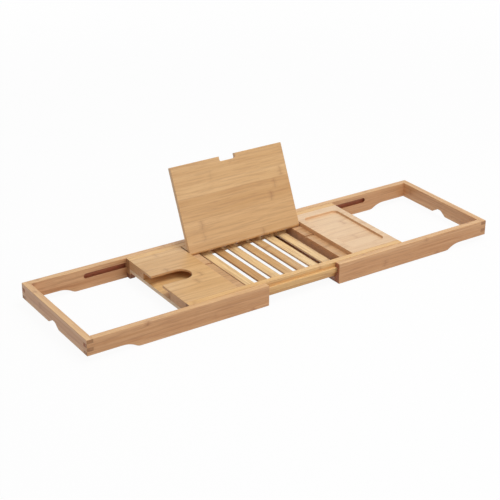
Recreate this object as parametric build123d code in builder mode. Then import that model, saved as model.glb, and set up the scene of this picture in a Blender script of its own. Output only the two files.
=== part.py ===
from build123d import *
import math
import os

os.makedirs("parts", exist_ok=True)

# A bath caddy that spans a bath: a centre tray between two sliding arms.
# Lengths are in millimetres. x runs along the caddy to the right, y to the back and z up.
# The origin is the centre of the slatted floor's top face.

# Levels of the tray
floor_drop = 15.6
overall_depth = 240.0
arris = 0.8
corner_ease = 1.5
overrun = 5.0
joint_clearance = 0.2

# Arms
arm_length = 350.0
arm_open_x = 75.0
arm_rail_thickness = 12.0
arm_deep_height = 39.0
arm_shallow_height = 29.0
rim_seat_length = 64.0
step_run = 34.0
step_share = 0.75
groove_height = 10.0
groove_drop = 9.0
groove_depth = 6.0
groove_end_margin = 112.0
finger_count = 4
grip_width = 37.0
grip_inner_width = 10.0
grip_depth = 9.2
grip_radius = 7.0
cross_bar_width = 16.0
cross_bar_height = 10.0
tenon_length = 5.0
tenon_shoulder = 2.0
tenon_clearance = 0.1

# Centre rails, which slide on their tongues in the arms' grooves
centre_length = 456.0
slide_clearance = 0.5
centre_rail_thickness = 11.5
centre_rail_height = 27.5
tongue_reach = 5.0
tongue_clearance = 0.3
stop_block_length = 11.0
stop_block_height = 9.5

# Boards at the two ends of the tray
side_board_width = 105.0
board_thickness = 8.3
phone_pocket_side_margin = 13.5
phone_pocket_end_margin = 19.8
phone_pocket_radius = 10.0
phone_pocket_depth = 4.5
pocket_ease = 0.5
wine_board_thickness = 17.0
wine_base_thickness = 6.8
stem_slot_width = 40.0
stem_slot_length = 68.0
foot_channel_width = 92.0
foot_channel_length = 98.0
foot_web = 4.0

# Bearers under the boards
left_bar_exposed_width = 22.0
right_bar_exposed_width = 18.2
left_bar_seat = 3.0
right_bar_seat = 18.0
end_bar_width = 14.0
bar_height = 17.7
catch_groove_width = 5.5
catch_groove_depth = 2.3
catch_groove_y = 22.5

# Slatted floor
slat_count = 7
slat_gap = 10.0
left_slat_end_gap = 10.3
right_slat_end_gap = 12.0
slat_thickness = 4.0
slat_end_clearance = 0.5
slat_seat_depth = 1.5
batten_width = 12.0
batten_height = 7.9

# Stand
stand_thickness = 7.8
stand_side_gap = 2.0
stand_front_gap = 7.0
stand_tilt_degrees = 65.5
hinge_inset = 27.0
fold_clearance = 0.25
stand_notch_width = 34.0
stand_notch_depth = 9.0
stand_notch_radius = 3.0
stop_bar_clearance = 0.2
stop_bar_screw_setback = 10.0
pin_diameter = 4.0
pin_depth = 12.0
pin_clearance = 0.05
pin_chamfer = 0.4

# Dowels and screws
dowel_diameter = 6.0
dowel_in_rail = 8.0
dowel_in_bar = 12.0
dowel_inset = 7.0
thin_dowel_diameter = 4.0
thin_dowel_edge = 12.0
hole_clearance = 0.05
screw_diameter = 3.0
screw_head_diameter = 6.0
screw_head_angle = 90.0
screw_recess_width = 0.8
screw_recess_length = 3.2
screw_recess_depth = 1.0
screw_sink = 0.2
screw_point_length = 2.5
short_screw_length = 16.0
wine_screw_length = 14.0
bar_screw_length = 22.0
screw_edge = 20.0

# Places that follow from the sizes
top_z = floor_drop
arm_outer_x = arm_open_x + arm_length
arm_face_y = overall_depth / 2
arm_inner_y = arm_face_y - arm_rail_thickness
arm_end_inner_x = arm_outer_x - arm_rail_thickness
finger_height = arm_shallow_height / finger_count
cross_bar_z = top_z - arm_deep_height + cross_bar_height / 2
groove_z = top_z - groove_drop - groove_height / 2

centre_end_x = centre_length / 2
centre_face_y = arm_inner_y - slide_clearance
centre_inner_y = centre_face_y - centre_rail_thickness
centre_bottom_z = top_z - centre_rail_height
tongue_height = groove_height - 2 * tongue_clearance

board_inner_x = centre_end_x - side_board_width
board_middle_x = centre_end_x - side_board_width / 2
board_end_y = centre_inner_y - joint_clearance
phone_pocket_width = side_board_width - 2 * phone_pocket_side_margin
phone_pocket_length = 2 * (board_end_y - phone_pocket_end_margin)
seat_z = top_z - board_thickness
left_bar_inner_x = -(board_inner_x - left_bar_exposed_width)
right_bar_inner_x = board_inner_x - right_bar_exposed_width
bar_bottom_z = seat_z - bar_height
left_bar_width = left_bar_exposed_width + left_bar_seat
right_bar_width = right_bar_exposed_width + right_bar_seat
left_bar_x = left_bar_inner_x - left_bar_width / 2
right_bar_x = right_bar_inner_x + right_bar_width / 2
left_bar_open_x = left_bar_inner_x - left_bar_exposed_width / 2
right_bar_open_x = right_bar_inner_x + right_bar_exposed_width / 2
end_bar_x = centre_end_x - end_bar_width / 2

base_top_z = top_z - wine_board_thickness
base_bottom_z = base_top_z - wine_base_thickness
base_length = side_board_width - left_bar_seat - joint_clearance
base_x = -centre_end_x + base_length / 2

slatted_start_x = left_bar_inner_x + left_slat_end_gap
slatted_length = right_bar_inner_x - right_slat_end_gap - slatted_start_x
slat_width = (slatted_length - (slat_count - 1) * slat_gap) / slat_count
slat_pitch = slat_width + slat_gap
slat_xs = [slatted_start_x + slat_width / 2 + number * slat_pitch for number in range(slat_count)]
batten_length = right_bar_inner_x - left_bar_inner_x - 2 * joint_clearance
batten_x = (left_bar_inner_x + right_bar_inner_x) / 2
batten_top_z = -slat_thickness + slat_seat_depth
batten_face_y = centre_inner_y - batten_width
batten_screw_z = -slat_thickness - (batten_height - slat_seat_depth) / 2

hinge_y = centre_inner_y - hinge_inset
stand_width = 2 * (board_inner_x - stand_side_gap)
stand_length = hinge_y + centre_inner_y - stand_front_gap
hinge_z = seat_z + fold_clearance + stand_thickness / 2
stand_tilt = math.radians(stand_tilt_degrees)
stand_plane = Plane(
    origin=(0, hinge_y, hinge_z),
    x_dir=(1, 0, 0),
    z_dir=(0, -math.sin(stand_tilt), math.cos(stand_tilt)),
)

pin_length = 2 * pin_depth + stand_side_gap
pin_middle_x = board_inner_x - stand_side_gap / 2

dowel_z = seat_z - bar_height / 2
thin_dowel_z = base_top_z - wine_base_thickness / 2
stop_block_x = centre_end_x - stop_block_length / 2
stop_block_y = (centre_face_y + centre_inner_y) / 2
stop_block_bottom_z = centre_bottom_z - stop_block_height

bar_screw_y = board_end_y - screw_edge
stop_bar_screw_y = hinge_y + stop_bar_screw_setback
wine_screw_shares = (0.25, 0.75)
wine_screw_xs = [-centre_end_x + share * base_length for share in wine_screw_shares]
batten_screw_xs = slat_xs[1::2]


def save(piece, name):
    piece.part.label = name
    export_step(piece.part, f"parts/{name}.step")


def from_below(x, y, z):
    return Plane(origin=(x, y, z), z_dir=(0, 0, -1))


def facing_middle(x, y, z):
    # A plane on a batten's inner face, looking at the tray's middle.
    return Plane(origin=(x, y, z), z_dir=(0, -math.copysign(1, y), 0))


def mirror_to_left(side):
    if side == "left":
        mirror(about=Plane.YZ, mode=Mode.REPLACE)


def mirror_to_front(edge):
    if edge == "front":
        mirror(about=Plane.XZ, mode=Mode.REPLACE)


# Places of the fasteners, shared by the holes and by what fills them
bar_screw_places = [
    from_below(x, y, bar_bottom_z)
    for x in (board_inner_x + right_bar_seat / 2, end_bar_x)
    for y in (-bar_screw_y, bar_screw_y)
] + [from_below(x, stop_bar_screw_y, bar_bottom_z) for x in (left_bar_open_x, right_bar_open_x)]

wine_screw_places = [
    from_below(x, y, base_bottom_z) for x in wine_screw_xs for y in (-bar_screw_y, bar_screw_y)
]

stop_block_screw_places = [
    from_below(x, y, stop_block_bottom_z)
    for x in (-stop_block_x, stop_block_x)
    for y in (-stop_block_y, stop_block_y)
]

batten_screw_places = [
    facing_middle(x, y, batten_screw_z) for x in batten_screw_xs for y in (-batten_face_y, batten_face_y)
]

bar_dowel_xs = (
    left_bar_x - dowel_inset,
    left_bar_x + dowel_inset,
    right_bar_x - dowel_inset,
    right_bar_x + dowel_inset,
    end_bar_x,
)

base_dowel_xs = (base_x - base_length / 2 + thin_dowel_edge, base_x, base_x + base_length / 2 - thin_dowel_edge)


def cut_bar_dowel_holes():
    # Blind holes across each joint between a bearer and the two centre rails.
    for x in bar_dowel_xs:
        for y in (-centre_inner_y, centre_inner_y):
            cut_dowel_hole(x, y, dowel_z, dowel_diameter)


def cut_base_dowel_holes():
    for x in base_dowel_xs:
        for y in (-centre_inner_y, centre_inner_y):
            cut_dowel_hole(x, y, thin_dowel_z, thin_dowel_diameter)


def dowel_middle_y(y):
    return math.copysign(abs(y) + (dowel_in_rail - dowel_in_bar) / 2, y)


def cut_dowel_hole(x, y, z, diameter):
    with Locations((x, dowel_middle_y(y), z)):
        Cylinder(
            radius=diameter / 2 + hole_clearance,
            height=dowel_in_rail + dowel_in_bar + 2 * hole_clearance,
            rotation=(90, 0, 0),
            mode=Mode.SUBTRACT,
        )


def cut_screw_holes(places, length):
    # Countersunk clearance holes that end just past the screws' points.
    with Locations(*places):
        CounterSinkHole(
            radius=screw_diameter / 2 + hole_clearance,
            counter_sink_radius=screw_head_diameter / 2 + screw_sink + hole_clearance,
            depth=length + screw_sink + hole_clearance,
            counter_sink_angle=screw_head_angle,
        )


def make_arm_frame():
    # The right arm's three rails in one, as the glued frame is sanded, with an arris all round.
    # The lower edge of the long rails steps up to the seat on the bath's rim, and the end rail
    # has a grip notch.
    seat_start_x = arm_outer_x - rim_seat_length
    deep_x = seat_start_x - step_run
    shallow_z = top_z - arm_shallow_height
    deep_z = top_z - arm_deep_height
    step_middle = (
        seat_start_x + step_share * (deep_x - seat_start_x),
        shallow_z + step_share * (deep_z - shallow_z),
    )
    with BuildPart() as frame:
        with BuildSketch(Plane.XZ.offset(-arm_face_y)) as profile:
            with BuildLine():
                Polyline(
                    (seat_start_x, shallow_z),
                    (arm_outer_x, shallow_z),
                    (arm_outer_x, top_z),
                    (arm_open_x, top_z),
                    (arm_open_x, deep_z),
                    (deep_x, deep_z),
                )
                upper = TangentArc((seat_start_x, shallow_z), step_middle, tangent=(-1, 0))
                TangentArc(step_middle, (deep_x, deep_z), tangent=upper % 1)
            make_face()
            fillet(profile.vertices().group_by(Axis.X)[0], corner_ease)
        extrude(amount=arm_rail_thickness)
        mirror(about=Plane.XZ)
        with BuildSketch(Plane.YZ.offset(arm_end_inner_x)) as outline:
            with Locations((0, top_z - arm_shallow_height / 2)):
                Rectangle(overall_depth, arm_shallow_height)
            with BuildLine():
                Polyline(
                    (-grip_width / 2, shallow_z),
                    (-grip_inner_width / 2, shallow_z + grip_depth),
                    (grip_inner_width / 2, shallow_z + grip_depth),
                    (grip_width / 2, shallow_z),
                    close=True,
                )
            make_face(mode=Mode.SUBTRACT)
            fillet(outline.vertices().filter_by(in_the_grip), grip_radius)
        extrude(amount=arm_rail_thickness)
        fillet(frame.edges().filter_by(takes_an_arris), arris)
    return frame.part


def in_the_grip(corner):
    # True for the four corners of the grip notch, in the end rail's own sketch.
    return abs(corner.X) < grip_width


def takes_an_arris(edge):
    # True for the edges round the rails' long faces, but not for the upright inner corners.
    along = edge.center().X
    across = abs(edge.center().Y)
    on_a_side = math.isclose(across, arm_face_y) or math.isclose(across, arm_inner_y)
    on_the_end = math.isclose(along, arm_outer_x) or math.isclose(along, arm_end_inner_x)
    in_an_inner_corner = math.isclose(across, arm_inner_y) and math.isclose(along, arm_end_inner_x)
    return (on_a_side or on_the_end) and not in_an_inner_corner


def make_arm_side_rail(side, edge):
    # A long rail of an arm, cut from the glued frame at the corner's finger joint. The groove
    # inside it carries the centre rail's tongue.
    groove_round_x = arm_outer_x - groove_end_margin - groove_height / 2
    groove_start_x = arm_open_x - overrun
    with BuildPart() as rail:
        add(arm_frame)
        with Locations((arm_outer_x + overrun, arm_inner_y, top_z)):
            Box(
                arm_length + 2 * overrun,
                arm_rail_thickness + overrun,
                2 * arm_deep_height,
                align=(Align.MAX, Align.MIN, Align.CENTER),
                mode=Mode.INTERSECT,
            )
        with BuildSketch(Plane.XZ.offset(-arm_inner_y)):
            with Locations(((groove_start_x + groove_round_x) / 2, groove_z)):
                Rectangle(groove_round_x - groove_start_x, groove_height)
            with Locations((groove_round_x, groove_z)):
                Circle(groove_height / 2)
        extrude(amount=-groove_depth, mode=Mode.SUBTRACT)
        for level in range(0, finger_count, 2):
            with Locations((arm_end_inner_x, arm_inner_y - overrun, top_z - (level + 1) * finger_height)):
                Box(
                    arm_rail_thickness + overrun,
                    arm_rail_thickness + 2 * overrun,
                    finger_height,
                    align=(Align.MIN, Align.MIN, Align.MIN),
                    mode=Mode.SUBTRACT,
                )
        with Locations((arm_open_x + cross_bar_width / 2, arm_inner_y, cross_bar_z)):
            Box(
                cross_bar_width - 2 * tenon_shoulder + 2 * tenon_clearance,
                2 * (tenon_length + tenon_clearance),
                cross_bar_height - 2 * tenon_shoulder + 2 * tenon_clearance,
                mode=Mode.SUBTRACT,
            )
        mirror_to_left(side)
        mirror_to_front(edge)
    save(rail, f"{side}_arm_{edge}_rail")


def make_arm_end_rail(side):
    # The rail that lies across the bath's rim, cut from the glued frame with the other half of
    # the finger joints.
    with BuildPart() as rail:
        add(arm_frame)
        with Locations((arm_end_inner_x, 0, top_z)):
            Box(
                arm_rail_thickness + overrun,
                overall_depth + 2 * overrun,
                2 * arm_deep_height,
                align=(Align.MIN, Align.CENTER, Align.CENTER),
                mode=Mode.INTERSECT,
            )
        for level in range(1, finger_count, 2):
            for end_y in (-arm_face_y, arm_face_y):
                with Locations(
                    (
                        arm_end_inner_x + arm_rail_thickness / 2,
                        end_y,
                        top_z - (level + 1 / 2) * finger_height,
                    )
                ):
                    Box(
                        arm_rail_thickness + 2 * overrun,
                        2 * arm_rail_thickness,
                        finger_height,
                        mode=Mode.SUBTRACT,
                    )
        mirror_to_left(side)
    save(rail, f"{side}_arm_end_rail")


def make_arm_cross_bar(side):
    # The bar at the arm's open end, tenoned into both side rails below the centre rails.
    with BuildPart() as bar:
        with Locations((arm_open_x + cross_bar_width / 2, 0, cross_bar_z)):
            Box(cross_bar_width, 2 * arm_inner_y, cross_bar_height)
            fillet(bar.edges().filter_by(Axis.Y), arris)
            Box(
                cross_bar_width - 2 * tenon_shoulder,
                2 * (arm_inner_y + tenon_length),
                cross_bar_height - 2 * tenon_shoulder,
            )
        mirror_to_left(side)
    save(bar, f"{side}_arm_cross_bar")


def make_centre_rail(edge):
    # A long rail of the centre tray, whose tongue rides in the two arms' grooves.
    with BuildPart() as rail:
        with BuildSketch(Plane.YZ.offset(-centre_end_x)):
            with Locations(((centre_face_y + centre_inner_y) / 2, top_z - centre_rail_height / 2)):
                Rectangle(centre_rail_thickness, centre_rail_height)
            with Locations((centre_face_y + tongue_reach / 2, groove_z)):
                Rectangle(tongue_reach, tongue_height)
        extrude(amount=centre_length)
        long_edges = rail.edges().filter_by(Axis.X)
        eased_edges = (
            long_edges.group_by(Axis.Z)[-1] + long_edges.group_by(Axis.Z)[0] + long_edges.group_by(Axis.Y)[-1]
        )
        fillet(eased_edges, arris)
        cut_bar_dowel_holes()
        cut_base_dowel_holes()
        cut_screw_holes(stop_block_screw_places, short_screw_length)
        cut_screw_holes(batten_screw_places, short_screw_length)
        mirror_to_front(edge)
    save(rail, f"centre_{edge}_rail")


def make_stop_block(side, edge):
    # A block under a centre rail's end. The arm's cross bar meets it when the arm is pulled right out.
    with BuildPart() as block:
        with Locations((stop_block_x, stop_block_y, centre_bottom_z - stop_block_height / 2)):
            Box(stop_block_length, centre_rail_thickness, stop_block_height)
        fillet(block.edges().group_by(Axis.Z)[0], arris)
        cut_screw_holes(stop_block_screw_places, short_screw_length)
        mirror_to_left(side)
        mirror_to_front(edge)
    save(block, f"{edge}_{side}_stop_block")


def make_bar(name, x, width):
    # A bearer between the centre rails, under a board's edge. Where its top is open, a groove
    # across it catches the foot of a book or screen.
    with BuildPart() as bar:
        with Locations((x, 0, seat_z - bar_height / 2)):
            Box(width, 2 * centre_inner_y, bar_height)
        fillet(bar.edges().filter_by(Axis.Y), arris)
        for open_x, open_width in (
            (left_bar_open_x, left_bar_exposed_width),
            (right_bar_open_x, right_bar_exposed_width),
        ):
            with Locations((open_x, catch_groove_y, seat_z)):
                Box(open_width, catch_groove_width, 2 * catch_groove_depth, mode=Mode.SUBTRACT)
        cut_bar_dowel_holes()
        cut_screw_holes(bar_screw_places, bar_screw_length)
    save(bar, name)


def cut_pin_holes():
    # Blind holes for the stand's pins, from the gap beside the stand both ways.
    for x in (-pin_middle_x, pin_middle_x):
        with Locations((x, hinge_y, hinge_z)):
            Cylinder(
                radius=pin_diameter / 2 + pin_clearance,
                height=pin_length + 2 * pin_clearance,
                rotation=(0, 90, 0),
                mode=Mode.SUBTRACT,
            )


def make_phone_board():
    # The right-hand board, with a shallow pocket that keeps a phone or soap from sliding.
    with BuildPart() as board:
        with Locations((board_middle_x, 0, top_z - board_thickness / 2)):
            Box(side_board_width, 2 * board_end_y, board_thickness)
        fillet(board.edges().group_by(Axis.Z)[-1], arris)
        with BuildSketch(Plane.XY.offset(top_z)):
            with Locations((board_middle_x, 0)):
                RectangleRounded(phone_pocket_width, phone_pocket_length, phone_pocket_radius)
        extrude(amount=-phone_pocket_depth, mode=Mode.SUBTRACT)
        fillet(board.faces().sort_by(Axis.Z)[-1].inner_wires()[0].edges(), pocket_ease)
        cut_screw_holes(bar_screw_places, bar_screw_length)
        cut_pin_holes()
    save(board, "phone_board")


def make_wine_top_board():
    # The left-hand board. A glass's foot slides into the channel under it, and the stem into the slot.
    left_x = -centre_end_x
    slot_round_x = left_x + stem_slot_length - stem_slot_width / 2
    channel_round_x = left_x + foot_channel_length - foot_channel_width / 2
    with BuildPart() as board:
        with Locations((-board_middle_x, 0, top_z - wine_board_thickness / 2)):
            Box(side_board_width, 2 * board_end_y, wine_board_thickness)
        fillet(board.edges().group_by(Axis.Z)[-1], arris)
        with BuildSketch(Plane.XY.offset(top_z)):
            with Locations(((left_x - overrun + slot_round_x) / 2, 0)):
                Rectangle(slot_round_x - left_x + overrun, stem_slot_width)
            with Locations((slot_round_x, 0)):
                Circle(stem_slot_width / 2)
        extrude(amount=-wine_board_thickness, mode=Mode.SUBTRACT)
        with BuildSketch(Plane.XY.offset(base_top_z)):
            with Locations(((left_x - overrun + channel_round_x) / 2, 0)):
                Rectangle(channel_round_x - left_x + overrun, foot_channel_width)
            with Locations((channel_round_x, 0)):
                Circle(foot_channel_width / 2)
        extrude(amount=wine_board_thickness - foot_web, mode=Mode.SUBTRACT)
        with Locations((-board_inner_x, 0, base_top_z)):
            Box(
                2 * (left_bar_seat + joint_clearance),
                overall_depth,
                2 * (wine_board_thickness - board_thickness),
                mode=Mode.SUBTRACT,
            )
        cut_screw_holes(wine_screw_places, wine_screw_length)
        cut_pin_holes()
    save(board, "wine_top_board")


def make_wine_base_board():
    # The board under the foot channel, which carries the glass.
    with BuildPart() as board:
        with Locations((base_x, 0, base_top_z - wine_base_thickness / 2)):
            Box(base_length, 2 * centre_inner_y, wine_base_thickness)
        fillet(board.edges().filter_by(Axis.Y).group_by(Axis.Z)[0], arris)
        cut_base_dowel_holes()
        cut_screw_holes(wine_screw_places, wine_screw_length)
    save(board, "wine_base_board")


def make_slat(number, x):
    with BuildPart() as slat:
        with Locations((x, 0, -slat_thickness / 2)):
            Box(slat_width, 2 * (centre_inner_y - slat_end_clearance), slat_thickness)
        fillet(slat.edges().filter_by(Axis.Y).group_by(Axis.Z)[-1], arris)
    save(slat, f"slat_{number}")


def make_batten(edge):
    # A batten inside a centre rail, notched for the slats' ends.
    with BuildPart() as batten:
        with Locations((batten_x, (batten_face_y + centre_inner_y) / 2, batten_top_z - batten_height / 2)):
            Box(batten_length, batten_width, batten_height)
        fillet(batten.edges().filter_by(Axis.X).group_by(Axis.Y)[0], arris)
        for x in slat_xs:
            with Locations((x, centre_inner_y, batten_top_z)):
                Box(
                    slat_width + 2 * joint_clearance,
                    2 * (batten_width + overrun),
                    2 * slat_seat_depth,
                    mode=Mode.SUBTRACT,
                )
        cut_screw_holes(batten_screw_places, short_screw_length)
        mirror_to_front(edge)
    save(batten, f"{edge}_batten")


def make_stand_board():
    # The stand, raised as at rest. It turns on pins in its round lower edge.
    with BuildPart() as board:
        with BuildSketch(stand_plane.offset(-stand_thickness / 2)) as outline:
            with Locations((0, stand_length / 2)):
                Rectangle(stand_width, stand_length)
            fillet(outline.vertices().group_by(Axis.Y)[-1], corner_ease)
            with Locations((0, stand_length)):
                RectangleRounded(
                    stand_notch_width,
                    2 * stand_notch_depth,
                    stand_notch_radius,
                    mode=Mode.SUBTRACT,
                )
        extrude(amount=stand_thickness)
        with Locations((0, hinge_y, hinge_z)):
            Cylinder(radius=stand_thickness / 2, height=stand_width, rotation=(0, 90, 0))
        flat_edges = board.faces().filter_by(stand_plane).edges().filter_by(above_the_hinge)
        round_edges = board.edges().filter_by(GeomType.CIRCLE).filter_by(round_the_hinge)
        fillet(flat_edges + round_edges, arris)
        cut_pin_holes()
    save(board, "stand_board")


def above_the_hinge(edge):
    # True for each edge that starts or ends above the stand's round lower edge.
    return max((edge @ 0).Z, (edge @ 1).Z) > hinge_z + stand_thickness


def round_the_hinge(edge):
    return math.isclose(edge.radius, stand_thickness / 2)


def make_stand_stop_bar():
    # The bar behind the stand. Its front face leans like the stand's back, which rests on it.
    back_face_y = hinge_y + (stand_thickness / 2 + stop_bar_clearance) / math.sin(stand_tilt)
    lean = 1 / math.tan(stand_tilt)
    with BuildPart() as bar:
        with BuildSketch(Plane.YZ.offset(-stand_width / 2)):
            with BuildLine():
                Polyline(
                    (centre_inner_y, seat_z),
                    (centre_inner_y, top_z),
                    (back_face_y + (top_z - hinge_z) * lean, top_z),
                    (back_face_y + (seat_z - hinge_z) * lean, seat_z),
                    close=True,
                )
            make_face()
        extrude(amount=stand_width)
        fillet(bar.edges().filter_by(Axis.X).group_by(Axis.Z)[-1], arris)
        cut_screw_holes(bar_screw_places, bar_screw_length)
    save(bar, "stand_stop_bar")


def make_hinge_pins():
    with BuildPart() as pins:
        for x in (-pin_middle_x, pin_middle_x):
            with Locations((x, hinge_y, hinge_z)):
                Cylinder(radius=pin_diameter / 2, height=pin_length, rotation=(0, 90, 0))
        chamfer(pins.edges().filter_by(GeomType.CIRCLE), pin_chamfer)
    save(pins, "hinge_pins")


def make_dowels(name, xs, z, diameter):
    with BuildPart() as dowels:
        for x in xs:
            for y in (-centre_inner_y, centre_inner_y):
                with Locations((x, dowel_middle_y(y), z)):
                    Cylinder(radius=diameter / 2, height=dowel_in_rail + dowel_in_bar, rotation=(90, 0, 0))
        chamfer(dowels.edges().filter_by(GeomType.CIRCLE), pin_chamfer)
    save(dowels, name)


def make_screws(name, places, length):
    # Countersunk screws with a cross recess. Each stands at its place, point inwards.
    head_radius = screw_head_diameter / 2
    shank_radius = screw_diameter / 2
    head_height = (head_radius - shank_radius) / math.tan(math.radians(screw_head_angle / 2))
    with BuildPart() as screw:
        with BuildSketch(Plane.XZ):
            with BuildLine():
                Polyline(
                    (0, -screw_sink),
                    (head_radius, -screw_sink),
                    (shank_radius, -screw_sink - head_height),
                    (shank_radius, -screw_sink - length + screw_point_length),
                    (0, -screw_sink - length),
                    close=True,
                )
            make_face()
        revolve(axis=Axis.Z)
        with Locations((0, 0, -screw_sink)):
            Box(screw_recess_length, screw_recess_width, 2 * screw_recess_depth, mode=Mode.SUBTRACT)
            Box(screw_recess_width, screw_recess_length, 2 * screw_recess_depth, mode=Mode.SUBTRACT)
    with BuildPart() as screws:
        with Locations(*places):
            add(screw.part)
    save(screws, name)


arm_frame = make_arm_frame()
for side in ("left", "right"):
    for edge in ("front", "back"):
        make_arm_side_rail(side, edge)
        make_stop_block(side, edge)
    make_arm_end_rail(side)
    make_arm_cross_bar(side)

for edge in ("front", "back"):
    make_centre_rail(edge)
    make_batten(edge)

make_bar("left_bar", left_bar_x, left_bar_width)
make_bar("right_bar", right_bar_x, right_bar_width)
make_bar("right_end_bar", end_bar_x, end_bar_width)
make_phone_board()
make_wine_top_board()
make_wine_base_board()

for number, x in enumerate(slat_xs, start=1):
    make_slat(number, x)

make_stand_board()
make_stand_stop_bar()
make_hinge_pins()
make_dowels("frame_dowels", bar_dowel_xs, dowel_z, dowel_diameter)
make_dowels("base_board_dowels", base_dowel_xs, thin_dowel_z, thin_dowel_diameter)
make_screws("bar_screws", bar_screw_places, bar_screw_length)
make_screws("base_board_screws", wine_screw_places, wine_screw_length)
make_screws("stop_block_screws", stop_block_screw_places, short_screw_length)
make_screws("batten_screws", batten_screw_places, short_screw_length)
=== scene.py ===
# %% [markdown]
# # A bamboo bath caddy, dressed for its picture
#
# The caddy is a centre tray with two U-shaped arms that slide out to the bath's rims, and a
# hinged board that holds a book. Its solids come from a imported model, already in place. This
# lesson adds what the eye looks for: the grain and nodes of laminated bamboo, darker end
# grain where a board is cut across, soft arrises, steel screws, and a bright plain studio.
# All lengths are in metres. x runs to the right, y to the back and z up.

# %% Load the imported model
import math
import bmesh
import bpy
from mathutils import Euler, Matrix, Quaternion, Vector


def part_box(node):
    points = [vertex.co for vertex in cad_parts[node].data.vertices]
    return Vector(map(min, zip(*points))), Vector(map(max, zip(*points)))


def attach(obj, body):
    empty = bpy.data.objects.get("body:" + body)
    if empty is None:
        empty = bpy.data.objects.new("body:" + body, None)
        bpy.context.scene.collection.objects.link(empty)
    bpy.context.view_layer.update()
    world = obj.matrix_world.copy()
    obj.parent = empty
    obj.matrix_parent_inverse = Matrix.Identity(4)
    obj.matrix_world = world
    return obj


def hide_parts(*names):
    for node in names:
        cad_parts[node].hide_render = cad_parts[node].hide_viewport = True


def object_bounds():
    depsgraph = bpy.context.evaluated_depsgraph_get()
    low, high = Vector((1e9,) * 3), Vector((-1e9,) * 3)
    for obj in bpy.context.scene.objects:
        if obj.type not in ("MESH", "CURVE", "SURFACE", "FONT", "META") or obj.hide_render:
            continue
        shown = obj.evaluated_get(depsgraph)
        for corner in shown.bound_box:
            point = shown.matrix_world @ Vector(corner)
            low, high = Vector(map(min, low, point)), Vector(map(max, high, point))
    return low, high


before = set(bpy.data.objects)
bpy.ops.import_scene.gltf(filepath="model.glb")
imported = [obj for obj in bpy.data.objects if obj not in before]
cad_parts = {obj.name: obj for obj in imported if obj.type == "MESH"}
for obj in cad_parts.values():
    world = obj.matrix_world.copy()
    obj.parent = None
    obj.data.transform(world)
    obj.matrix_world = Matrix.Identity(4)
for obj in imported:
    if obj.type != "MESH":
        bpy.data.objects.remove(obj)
solid_box = [list(corner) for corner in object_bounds()]
MM = 0.001
print("nodes:", len(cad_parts), "box:", [[round(v, 4) for v in c] for c in solid_box])

# %% [markdown]
# ## Small helpers for node trees
#
# A material, a shader group or a geometry tree is a graph of nodes. Writing each node by hand
# takes four lines, so these helpers add a node, set its values and join its inputs in one
# call. An input that is itself a socket becomes a link, and anything else becomes the
# socket's value.

# %% Node helpers
def colour(red, green, blue):
    """A screen colour, 0 to 255, as the linear colour that shaders work in."""
    def linear(value):
        value /= 255
        return value / 12.92 if value <= 0.04045 else ((value + 0.055) / 1.055) ** 2.4
    return (linear(red), linear(green), linear(blue), 1.0)


def add(tree, kind, inputs=None, **settings):
    """A new node with its settings, and its inputs set or linked by name or number."""
    node = tree.nodes.new(kind)
    for name, value in settings.items():
        setattr(node, name, value)
    for name, value in (inputs or {}).items():
        if isinstance(value, bpy.types.NodeSocket):
            tree.links.new(value, node.inputs[name])
        else:
            node.inputs[name].default_value = value
    return node


def new_group(kind, name, inputs, outputs):
    """A node group with named sockets. Returns it with its two end nodes."""
    group = bpy.data.node_groups.new(name, kind)
    for title, (socket_type, value) in inputs.items():
        socket = group.interface.new_socket(name=title, in_out="INPUT", socket_type=socket_type)
        if value is not None:
            socket.default_value = value
    for title, socket_type in outputs.items():
        group.interface.new_socket(name=title, in_out="OUTPUT", socket_type=socket_type)
    return group, group.nodes.new("NodeGroupInput"), group.nodes.new("NodeGroupOutput")


FLOAT, VECTOR, COLOR = "NodeSocketFloat", "NodeSocketVector", "NodeSocketColor"
print("helpers ready")

# %% [markdown]
# ## Arithmetic with sockets
#
# The patterns are sums and products of a few masks. Each of these helpers adds one step of
# that arithmetic and returns the socket that holds its result, so steps can be nested.

# %% Shader arithmetic
def calc(tree, operation, first, second=0.0, third=0.0, clamp=False):
    """One step of arithmetic on two or three values or sockets."""
    values = {0: first, 1: second, 2: third}
    return add(tree, "ShaderNodeMath", values, operation=operation, use_clamp=clamp).outputs[0]


def ramp(tree, value, none, full):
    """0 where the value is at none, 1 where it is at full, and eased between."""
    inputs = {"Value": value, "From Min": none, "From Max": full}
    eased = add(tree, "ShaderNodeMapRange", inputs, interpolation_type="SMOOTHSTEP", clamp=True)
    return eased.outputs[0]


def blend(tree, amount, under, over, mode="MIX"):
    """Two colours mixed by an amount."""
    inputs = {0: amount, 6: under, 7: over}
    return add(tree, "ShaderNodeMix", inputs, data_type="RGBA", blend_type=mode).outputs[2]


def scaled(tree, vector, factors):
    """A vector with each of its parts multiplied."""
    parts = {0: vector, 1: factors}
    return add(tree, "ShaderNodeVectorMath", parts, operation="MULTIPLY").outputs[0]


def noise(tree, vector, stretch, detail=2.0, roughness=0.5):
    """Smooth noise, 0 to 1. The stretch is its cycles per unit along each axis."""
    inputs = {
        "Vector": scaled(tree, vector, stretch),
        "Scale": 1.0,
        "Detail": detail,
        "Roughness": roughness,
    }
    return add(tree, "ShaderNodeTexNoise", inputs).outputs[0]


print("arithmetic ready")

# %% [markdown]
# ## Soft edges, as a shared group
#
# Hands and sanding round every edge of a wooden tray, and the lacquer is thinnest there, so
# an edge looks a little paler. That paler colour is also a painted highlight, for the light
# that a rounded edge catches. A Bevel node looks round each point and gives the normal that
# a rounded edge would have. Where that differs from the true normal, there is an edge. The
# group gives back both: the rounded normal for shading and a mask for colour.

# %% Edge group
NO_EDGE, FULL_EDGE = 0.995, 0.80  # cosines of the angle between the two normals

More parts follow.
